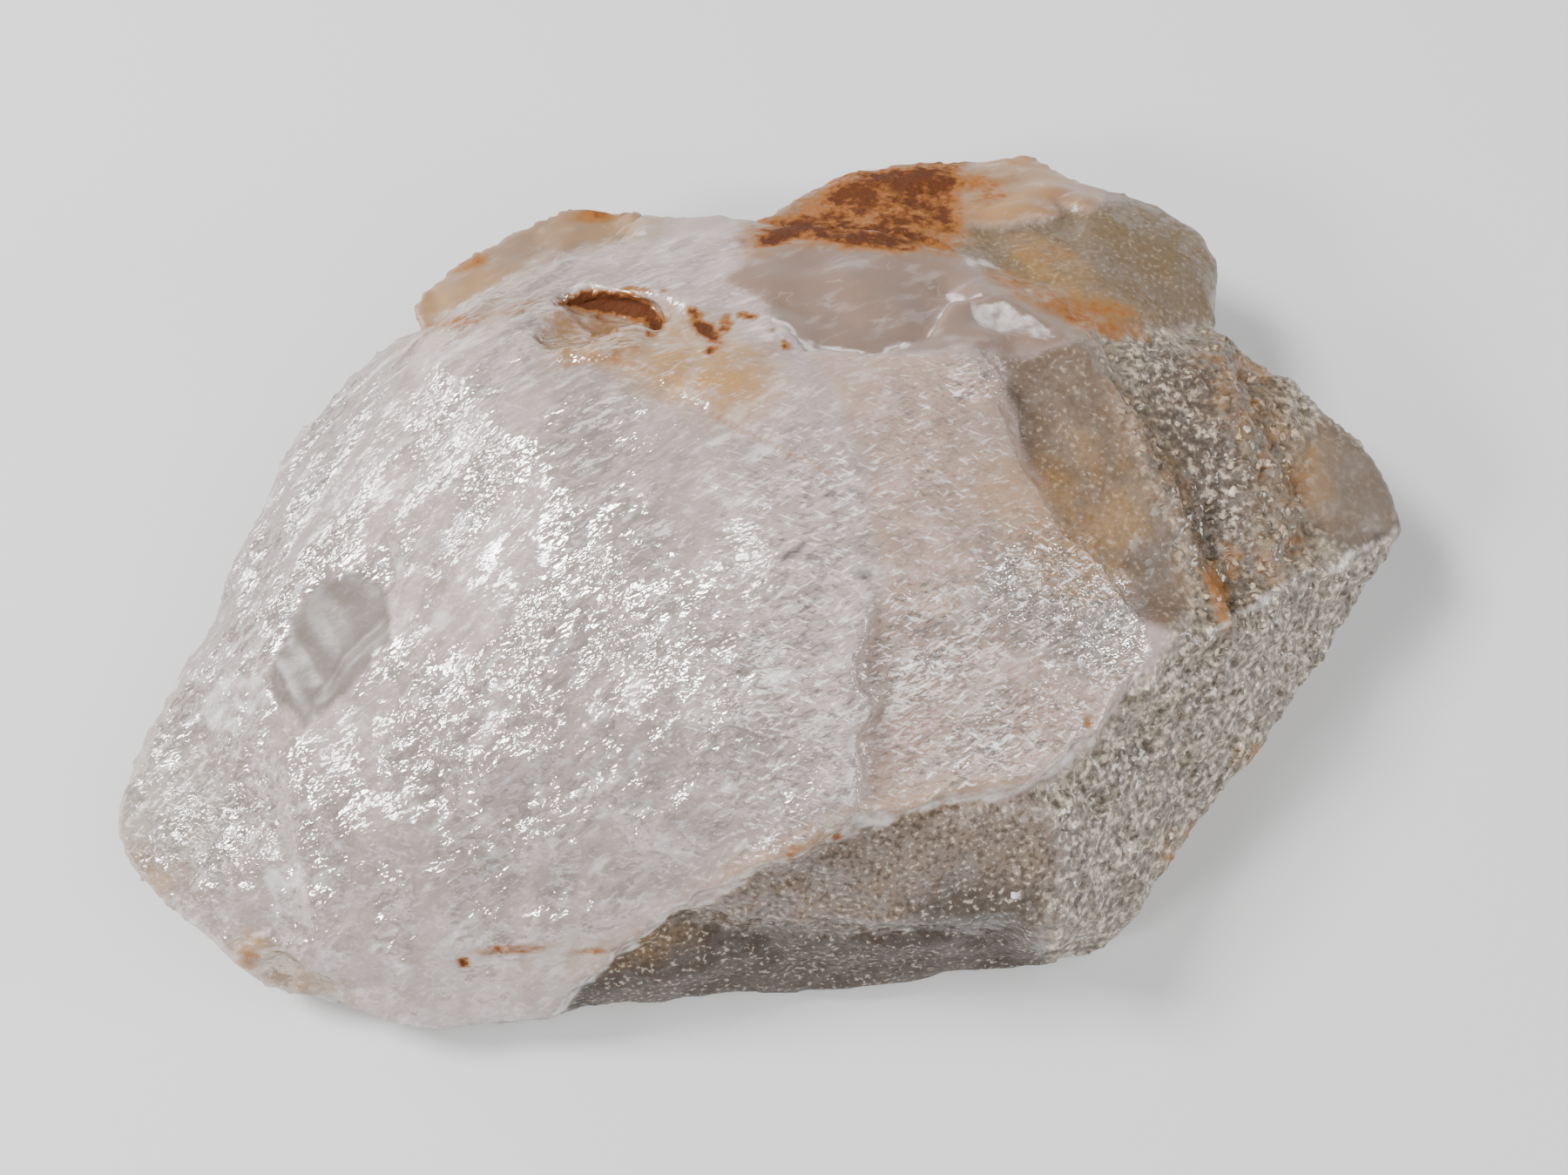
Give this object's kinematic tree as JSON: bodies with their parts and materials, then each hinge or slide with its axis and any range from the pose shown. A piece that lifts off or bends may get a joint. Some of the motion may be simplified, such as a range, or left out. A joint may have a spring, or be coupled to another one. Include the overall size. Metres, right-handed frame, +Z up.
{
  "type": "rough smoky quartz stone",
  "caption": "Rough lump of cloudy smoky quartz with a milky domed top, a stepped plate, a steep front wall, a sugary broken side and rust stains; it rests on a flat broken face.",
  "frame": {"origin": "middle of the stone's outline on the plane that it rests on", "axes": "+Z up from the resting face, +X along the long side to the pointed sugary tip, -Y out of the steep front wall"},
  "size_m": [0.0696, 0.0514, 0.0232],
  "materials": {
    "quartz": "cloudy translucent quartz, wet-looking on fresh breaks, with rust stains"
  },
  "bodies": {
    "root": {"quartz": "quartz"}
  },
  "joints": []
}
